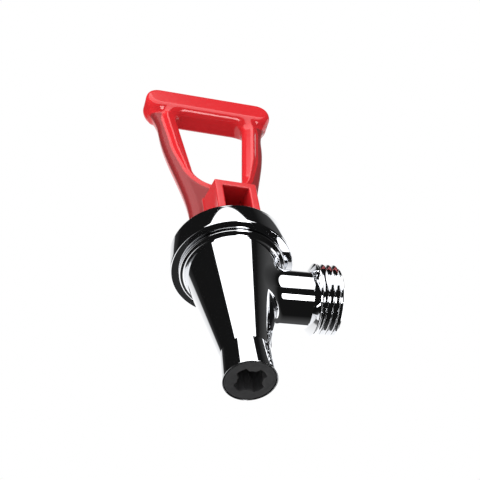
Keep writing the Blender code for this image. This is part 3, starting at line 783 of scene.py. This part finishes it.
def outlet_insert(finish):
    """The black sleeve, with soft edges on its four ribs."""
    outline = rib_ring()
    count = len(outline)
    low = INSERT_LOW[2]
    high = INSERT_HIGH[2]
    vertices = []
    for distance, z in [(back, low + up) for back, up in RIB_EDGE] + [(0.0, high)]:
        vertices += [(AXIS_X + x, y, z) for x, y in grown(outline, distance)]
    outer = [(INSERT_SLEEVE_R, high), (INSERT_SLEEVE_R, low + INSERT_FLANGE_H),
             (INSERT_FLANGE_R, low + INSERT_FLANGE_H), (INSERT_FLANGE_R, low + INSERT_CHAMFER),
             (INSERT_FLANGE_R - INSERT_CHAMFER, low)]
    angles = [atan2(p.y, p.x) for p in outline]
    for radius, z in outer:
        vertices += [(AXIS_X + radius * cos(a), radius * sin(a), z) for a in angles]
    rows = len(vertices) // count
    faces = []
    for row in range(rows):
        faces += band(row * count, (row + 1) % rows * count, count)
    add_piece("outlet_sleeve", vertices, faces, finish, "body", "black_plastic", ("outlet_insert",))


def bonnet(finish):
    """The chrome cap, with its slightly barrelled wall and the recess for the washer."""
    recess_z = TOP_Z - RECESS_DEPTH
    roof = WASHER_LOW[2] - GAP - BONNET_PLATE
    bore_r = BODY_NECK_R + GAP
    recess_r = WASHER_HIGH[0] - AXIS_X + GAP
    high = TOP_Z - BONNET_EDGE
    low = LIP_Z + BONNET_LIP_ROUND
    wall = []
    for i in range(BONNET_ROWS + 1):
        share = i / BONNET_ROWS
        wall.append((BONNET_LIP_R - (BONNET_LIP_R - BONNET_TOP_R) * (1 - share) ** BONNET_BARREL,
                     high - (high - low) * share))
    top = arc((BONNET_TOP_R - BONNET_EDGE, high), BONNET_EDGE, pi / 2, 0, EDGE_STEPS)[:-1]
    lip = arc((BONNET_LIP_R - BONNET_LIP_ROUND, low), BONNET_LIP_ROUND, 0, -pi / 2, LIP_STEPS)[1:]
    outline = [(BONNET_HOLE_R, roof), (BONNET_HOLE_R, recess_z), (recess_r, recess_z), (recess_r, TOP_Z)]
    outline += top + wall + lip + [(bore_r, LIP_Z), (bore_r, roof)]
    weigh_normals(add_piece("bonnet_cap", *turned(outline), finish, "body", "chrome", ("bonnet",)))


def handle_outline():
    """The handle's silhouette from the front, from the foot up to where it runs into the grip's ends."""
    side = [(FOOT_HALF, FOOT_LOW_H)]
    for i in range(LEG_STEPS + 1):
        z = FOOT_H + (FLARE_TOP_H - FOOT_H) * i / LEG_STEPS
        beyond = max(0, z - FLARE_H)
        flare = FLARE_R - sqrt(FLARE_R ** 2 - beyond ** 2)
        side.append((eased(FOOT_HALF, SHOULDER_HALF, (z - FOOT_H) / (SHOULDER_H - FOOT_H)) + flare, z))
    side.append((SHOULDER_HALF, GRIP_TOP_H - GRIP_HEIGHT / 2))
    return mirrored(side)


def loop_outline():
    """The finger loop."""
    top = GRIP_TOP_H - GRIP_HEIGHT + LOOP_TOP_REACH
    corner = (LOOP_BOTTOM_HALF - LOOP_CORNER, LOOP_BOTTOM_H + LOOP_CORNER)
    top_corner = (LOOP_TOP_HALF - LOOP_TOP_CORNER, top - LOOP_TOP_CORNER)
    side = [(0, LOOP_BOTTOM_H)]
    side += arc(corner, LOOP_CORNER, -pi / 2, 0, CORNER_STEPS)
    side += arc(top_corner, LOOP_TOP_CORNER, 0, pi / 2, TOP_CORNER_STEPS)
    return mirrored(side)


def nose_point(tilt):
    """Where the clevis touches the washer at a tilt."""
    reach = PIN_H + LIFT_PER_RADIAN * tilt
    forward = reach * sin(tilt) + LIFT_PER_RADIAN * cos(tilt)
    below = reach * cos(tilt) - LIFT_PER_RADIAN * sin(tilt)
    return (-forward, PIN_H - below)


def clevis_outline():
    """Side view of the clevis, from its heel along the cam nose to the roof."""
    nose = [nose_point(TILT_MAX * i / NOSE_STEPS) for i in range(NOSE_STEPS + 1)]
    end_y, end_z = nose[-1]
    chin_z = end_z + CLEVIS_FRONT + end_y
    outline = [(CLEVIS_BACK, 0)] + nose
    outline += [(-CLEVIS_FRONT, chin_z), (-CLEVIS_FRONT, CLEVIS_FRONT_H), (0, CLEVIS_MIDDLE_H),
                (CLEVIS_BACK, CLEVIS_FRONT_H)]
    return [(-y, z) for y, z in reversed(outline)]


def cavity_outline():
    """Side view of the clevis's hollow, open at the front and below."""
    slope = (CLEVIS_MIDDLE_H - CLEVIS_FRONT_H) / CLEVIS_FRONT
    back = CLEVIS_BACK - CLEVIS_BACK_WALL
    return [
        (-back, -CAVITY_SPARE),
        (CLEVIS_FRONT + CAVITY_SPARE, -CAVITY_SPARE),
        (CLEVIS_FRONT + CAVITY_SPARE, CLEVIS_FRONT_H - CLEVIS_ROOF - slope * CAVITY_SPARE),
        (0, CLEVIS_MIDDLE_H - CLEVIS_ROOF),
        (-back, CLEVIS_FRONT_H - CLEVIS_ROOF),
    ]


OUTLINE = handle_outline()
LOOP = loop_outline()
CLEVIS = clevis_outline()
CAVITY = cavity_outline()


def stadium(x, z, half_length, radius, middle_z):
    """Distance to a bar with half-round ends, seen from the front."""
    beyond = np.maximum(np.abs(x) - (half_length - radius), 0)
    return np.sqrt(beyond ** 2 + (z - middle_z) ** 2) - radius


def grip_field(x, y, z):
    """The grip bar: half-round ends, and edges rounded more below than above."""
    middle = GRIP_TOP_H - GRIP_HEIGHT / 2
    low_edge = np.where(y < 0, GRIP_FRONT_EDGE, GRIP_BACK_EDGE)
    edge = eased(GRIP_EDGE, low_edge, (middle - z) / GRIP_HEIGHT + 0.5)
    end = np.clip((np.abs(x) - GRIP_HALF_LENGTH) / GRIP_HEIGHT * 2 + 1, 0, 1)
    edge = np.maximum(edge, GRIP_END_EDGE * end * (y > 0))
    flat = stadium(x, z, GRIP_HALF_LENGTH, GRIP_HEIGHT / 2, middle)
    return thickened(flat, np.abs(y) - GRIP_DEPTH / 2, edge)


def both(a, b, radius):
    """Intersection of two fields, with the new edge rounded."""
    return -joined(-a, -b, radius)


def sloped(flat, across, slope):
    """A side that leans in by a slope for each step across, as a distance."""
    return (flat + across * slope) / sqrt(1 + slope * slope)


def plate_field(front, outer):
    """The flat plate: a plain band round its edge, and drafted sides in front and behind."""
    front_slope = FRONT_DRAFT / (WEB_FRONT - PARTING_HALF)
    back_slope = BACK_DRAFT / (LEG_BACK - PARTING_HALF)
    field = both(outer, sloped(outer, front - PARTING_HALF, front_slope), RIDGE_ROUND)
    field = both(field, sloped(outer, -front - PARTING_HALF, back_slope), RIDGE_ROUND)
    return both(both(field, front - WEB_FRONT, PLATE_FRONT_ROUND), -front - LEG_BACK, PLATE_BACK_ROUND)


def rim_field(front, loop, z):
    """The raised rim round the loop, down to its foot on the plate."""
    width = eased(RIM_LOW, RIM_HIGH, (z - LOOP_BOTTOM_H) / (GRIP_TOP_H - GRIP_HEIGHT - LOOP_BOTTOM_H) * 2)
    flank = sloped(loop - width, front - LEG_FRONT, RIM_FLANK / (LEG_FRONT - WEB_FRONT))
    return both(both(flank, front - LEG_FRONT, RIM_TOP_ROUND), -front, RIM_BACK_ROUND)


def opening_field(front, loop):
    """The finger loop: a plain band, opening towards the ridge in front and to the back."""
    rim_slope = RIM_SLOPE / (LEG_FRONT - LOOP_BAND_FRONT)
    back_slope = BACK_DRAFT / (LEG_BACK - PARTING_HALF)
    field = joined(loop, sloped(loop, LOOP_BAND_FRONT - front, rim_slope), RIDGE_ROUND)
    return joined(field, sloped(loop, PARTING_HALF + front, back_slope), RIDGE_ROUND)


def handle_field(x, y, z):
    """The red moulding, in the handle's own frame. The front is towards -y."""
    front = -y
    side = np.abs(x)
    loop = polygon_field(LOOP, side, z)
    plate = plate_field(front, polygon_field(OUTLINE, side, z))
    body = joined(plate, rim_field(front, loop, z), RIM_FOOT_ROUND)
    body = cut(body, opening_field(front, loop), LOOP_EDGE_ROUND)
    body = joined(body, grip_field(x, y, z), GRIP_FILLET)
    clevis = thickened(polygon_field(CLEVIS, front, z), side - CLEVIS_HALF_WIDTH, CLEVIS_ROUND)
    body = joined(body, clevis, CLEVIS_FILLET)
    cavity = np.maximum(polygon_field(CAVITY, front, z), side - CLEVIS_HALF_WIDTH + CLEVIS_WALL)
    body = cut(body, cavity, CAVITY_ROUND)
    hole = np.maximum(np.sqrt(y ** 2 + (z - PIN_H) ** 2) - PIN_R - GAP, -PIN_REACH - GAP - x)
    return cut(body, hole, HOLE_ROUND)


def satin_and_shade_share(points):
    """How much of the satin mould texture and of the painted shade each point has: all of it on the
    recessed plate.
    """
    x, y, z = points.T
    front = -y
    side = np.abs(x)
    loop = polygon_field(LOOP, side, z)
    rim = rim_field(front, loop, z)
    away = np.abs(plate_field(front, polygon_field(OUTLINE, side, z))) + np.maximum(0, -rim)
    away += np.maximum(0, SATIN_AND_SHADE_RIM_GAP - rim) + np.maximum(0, -front - PARTING_HALF)
    away += np.maximum(0, CLEVIS_HALF_WIDTH + SATIN_AND_SHADE_CLEVIS_GAP - side) * (z < CLEVIS_MIDDLE_H)
    return np.clip(SATIN_AND_SHADE_START - away / SATIN_AND_SHADE_FADE, 0, 1)


def turned_handle(points):
    """From the handle's own frame to its place on the faucet."""
    c = cos(HANDLE_TURN)
    s = sin(HANDLE_TURN)
    x, y, z = points.T
    return np.stack([x * c - y * s, x * s + y * c, z], 1)


def handle(finish):
    """The handle, as one smooth moulding."""
    low = (-GRIP_HALF_LENGTH - HANDLE_MARGIN, -CLEVIS_FRONT - HANDLE_MARGIN, -HANDLE_MARGIN)
    high = (GRIP_HALF_LENGTH + HANDLE_MARGIN, CLEVIS_BACK + HANDLE_MARGIN, GRIP_TOP_H + HANDLE_MARGIN)
    points, quads = surface_net(handle_field, low, high, HANDLE_STEP)
    points, normals = settled(handle_field, points)
    # The satin share also carries the painted shade of the recessed plate
    satin = satin_and_shade_share(points)
    points = turned_handle(points) + np.array([AXIS_X, 0, BASE_Z])
    made = add_piece("handle_moulding", points, quads, finish, "handle", "red_plastic", ("handle",),
                     turned_handle(normals))
    made.data.attributes.new("satin", "FLOAT", "POINT").data.foreach_set("value", satin)


def dress_nodes(finishes):
    """Give the small solids that stay their own finishes."""
    for name, finish in finishes.items():
        node = frame["nodes"][name]
        node.data.materials.clear()
        node.data.materials.append(finish)


def soft_copy(node, finish):
    """A copy of a soft solid with the given finish, in place of the solid."""
    made = bpy.data.objects.new("soft_" + node, frame["nodes"][node].data.copy())
    made.data.materials.clear()
    made.data.materials.append(finish)
    bpy.context.scene.collection.objects.link(made)
    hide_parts(node)
    return made


def spring(finish):
    """The closing spring, as a copy of its solid riding on the body."""
    made = soft_copy("stem_spring", finish)
    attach(made, "body")
    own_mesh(made)


def cup(finish):
    """The silicone cup, as a copy of its solid."""
    made = soft_copy("seat_cup", finish)
    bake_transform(made)


def floor():
    """A plain pale floor far below the faucet. The chrome reflects the studio instead of it."""
    made, _, shader = node_tree("pale_floor")
    shader.inputs["Base Color"].default_value = FLOOR
    shader.inputs["Roughness"].default_value = 0.9
    mesh = bpy.data.meshes.new("floor")
    corners = [(-FLOOR_HALF, -FLOOR_HALF), (FLOOR_HALF, -FLOOR_HALF), (FLOOR_HALF, FLOOR_HALF),
               (-FLOOR_HALF, FLOOR_HALF)]
    mesh.from_pydata([(x, y, FLOOR_Z) for x, y in corners], [], [(0, 1, 2, 3)])
    mesh.materials.append(made)
    plane = bpy.data.objects.new("floor", mesh)
    plane.visible_glossy = False
    bpy.context.scene.collection.objects.link(plane)


def camera():
    """The photograph's camera: it looks up at the outlet, from in front and below."""
    away = Vector((cos(VIEW_ELEVATION) * cos(VIEW_AZIMUTH), cos(VIEW_ELEVATION) * sin(VIEW_AZIMUTH),
                   sin(VIEW_ELEVATION)))
    right = away.cross(Vector((0, 0, 1))) * -1
    right.normalize()
    up = away.cross(right)
    level = Matrix((right, up, away)).transposed()
    turn = level @ Matrix.Rotation(VIEW_ROLL, 3, "Z")
    offset = Vector(((OUTLET_PIXEL[0] - PHOTO_SIZE / 2), (PHOTO_SIZE / 2 - OUTLET_PIXEL[1]), 0))
    offset *= VIEW_DISTANCE / FOCAL_PIXELS
    outlet = Vector((AXIS_X, 0, OUTLET_Z))
    place = outlet + turn @ (Vector((0, 0, VIEW_DISTANCE)) - offset)
    data = bpy.data.cameras.new("camera")
    data.sensor_width = SENSOR
    data.lens = FOCAL_PIXELS / PHOTO_SIZE * SENSOR
    data.clip_start = CLIP_START
    data.clip_end = CLIP_END
    made = bpy.data.objects.new("camera", data)
    made.matrix_world = Matrix.Translation(place) @ turn.to_4x4()
    bpy.context.scene.collection.objects.link(made)
    bpy.context.scene.camera = made
    return made


def lamp(name, direction, size, energy):
    """A soft square light, aimed at the faucet's middle. The chrome doesn't reflect it."""
    light = bpy.data.lights.new(name, "AREA")
    light.shape = "SQUARE"
    light.size = size
    light.energy = energy
    made = bpy.data.objects.new(name, light)
    target = Vector((AXIS_X, 0, LAMP_TARGET_Z))
    made.location = target + Vector(direction).normalized() * LAMP_DISTANCE
    made.rotation_euler = Vector(direction).to_track_quat("Z", "Y").to_euler()
    made.visible_glossy = False
    bpy.context.scene.collection.objects.link(made)


def leaning(tree, source, direction, low, high):
    """0 to 1 as the cosine between a ray and a direction goes from low to high."""
    lean = tree.nodes.new("ShaderNodeVectorMath")
    lean.operation = "DOT_PRODUCT"
    lean.inputs[1].default_value = Vector(direction).normalized()
    tree.links.new(source, lean.inputs[0])
    step = tree.nodes.new("ShaderNodeMapRange")
    step.inputs["From Min"].default_value = low
    step.inputs["From Max"].default_value = high
    tree.links.new(lean.outputs["Value"], step.inputs["Value"])
    return step.outputs["Result"]


def reached(tree, source, direction, blur):
    """1 on a direction's side of the plane across it, 0 on the other side, with a soft edge."""
    return leaning(tree, source, direction, -blur, blur)


def lowest(tree, values):
    """The lowest of several values."""
    found = values[0]
    for value in values[1:]:
        step = tree.nodes.new("ShaderNodeMath")
        step.operation = "MINIMUM"
        tree.links.new(found, step.inputs[0])
        tree.links.new(value, step.inputs[1])
        found = step.outputs["Value"]
    return found


def disc(tree, source, direction, radius, blur):
    """1 inside a round patch of the surroundings, 0 outside, with its radius as an angle."""
    return leaning(tree, source, direction, cos(radius + blur), cos(radius - blur))


def added(tree, parts, base):
    """A base brightness and several masks, each times its own brightness."""
    total = None
    for mask, brightness in parts:
        step = tree.nodes.new("ShaderNodeMath")
        step.operation = "MULTIPLY_ADD"
        step.inputs[1].default_value = brightness
        step.inputs[2].default_value = base
        tree.links.new(mask, step.inputs[0])
        if total is not None:
            tree.links.new(total, step.inputs[2])
        total = step.outputs["Value"]
    return total


def background(tree, strength=1.0):
    """A white background shader."""
    made = tree.nodes.new("ShaderNodeBackground")
    made.inputs["Color"].default_value = (1, 1, 1, 1)
    made.inputs["Strength"].default_value = strength
    return made


def chosen(tree, share, others, picked):
    """One shader where the share is 1, and another elsewhere."""
    mix = tree.nodes.new("ShaderNodeMixShader")
    tree.links.new(share, mix.inputs["Fac"])
    tree.links.new(others, mix.inputs[1])
    tree.links.new(picked, mix.inputs[2])
    return mix.outputs["Shader"]


def surroundings(tree, view):
    """Brightness of the studio round the faucet: table, glow, haze, card, soft box and strip."""
    ray = tree.nodes.new("ShaderNodeTexCoord").outputs["Generated"]
    turn = view.matrix_world.to_3x3()
    right = turn @ Vector((1, 0, 0))
    up = turn @ Vector((0, 1, 0))
    away = turn @ Vector((0, 0, -1))

    def seen(direction):
        """A direction given as right, up and away from the camera."""
        return right * direction[0] + up * direction[1] + away * direction[2]

    far_edge = seen(TABLE_FAR_EDGE)
    right_edge = reached(tree, ray, seen(TABLE_RIGHT_EDGE), RIGHT_EDGE_BLUR)
    table = lowest(tree, [reached(tree, ray, far_edge, TABLE_BLUR), right_edge])
    glow = lowest(tree, [reached(tree, ray, far_edge - away * GLOW_SHIFT, GLOW_BLUR), right_edge])
    haze = lowest(tree, [reached(tree, ray, far_edge, HAZE_BLUR), reached(tree, ray, away, HAZE_SIDE_BLUR)])
    card = disc(tree, ray, seen(CARD_DIRECTION), CARD_RADIUS, CARD_BLUR)
    box = disc(tree, ray, BOX_DIRECTION, BOX_RADIUS, BOX_BLUR)
    strip = disc(tree, ray, seen(STRIP_DIRECTION), STRIP_RADIUS, STRIP_BLUR)
    parts = [(table, TABLE_LIGHT), (glow, TABLE_GLOW), (haze, TABLE_HAZE), (card, CARD_LIGHT),
             (box, BOX_LIGHT), (strip, STRIP_LIGHT)]
    return added(tree, parts, ROOM_LIGHT)


def world(view):
    """White to the camera, the studio to the chrome, and an even fill to matt surfaces."""
    made = bpy.data.worlds.new("studio")
    bpy.context.scene.world = made
    made.use_nodes = True
    tree = made.node_tree
    tree.nodes.clear()
    out = tree.nodes.new("ShaderNodeOutputWorld")
    plain = background(tree)
    fill = background(tree, FILL)
    mirror = background(tree)
    tree.links.new(surroundings(tree, view), mirror.inputs["Strength"])
    path = tree.nodes.new("ShaderNodeLightPath").outputs
    lit = chosen(tree, path["Is Glossy Ray"], fill.outputs["Background"], mirror.outputs["Background"])
    shown = chosen(tree, path["Is Camera Ray"], lit, plain.outputs["Background"])
    tree.links.new(shown, out.inputs["Surface"])


def build():
    """Build every piece, then the studio."""
    chrome = chrome_plating()
    red = red_plastic()
    black = black_plastic()
    metal = steel()
    pale = mottled("acetal", ACETAL, scale=300, detail=3, roughness=(0.35, 0.5))
    rubber = mottled("silicone", SILICONE, scale=250, detail=2, roughness=(0.45, 0.65))
    casting(chrome)
    outlet_tip(chrome)
    collar(chrome)
    shank_end(chrome)
    bonnet(chrome)
    outlet_insert(black)
    handle(red)
    dress_nodes({"stem": metal, "handle_pin": metal, "spring_washer": metal, "wear_washer": pale,
                 "stem_bush": pale})
    spring(metal)
    cup(rubber)
    bpy.context.scene.view_settings.view_transform = "Standard"
    view = camera()
    floor()
    world(view)
    lamp("soft_box", BOX_DIRECTION, BOX_SIZE, BOX_ENERGY)
    lamp("side_fill", SIDE_DIRECTION, SIDE_SIZE, SIDE_ENERGY)


build()
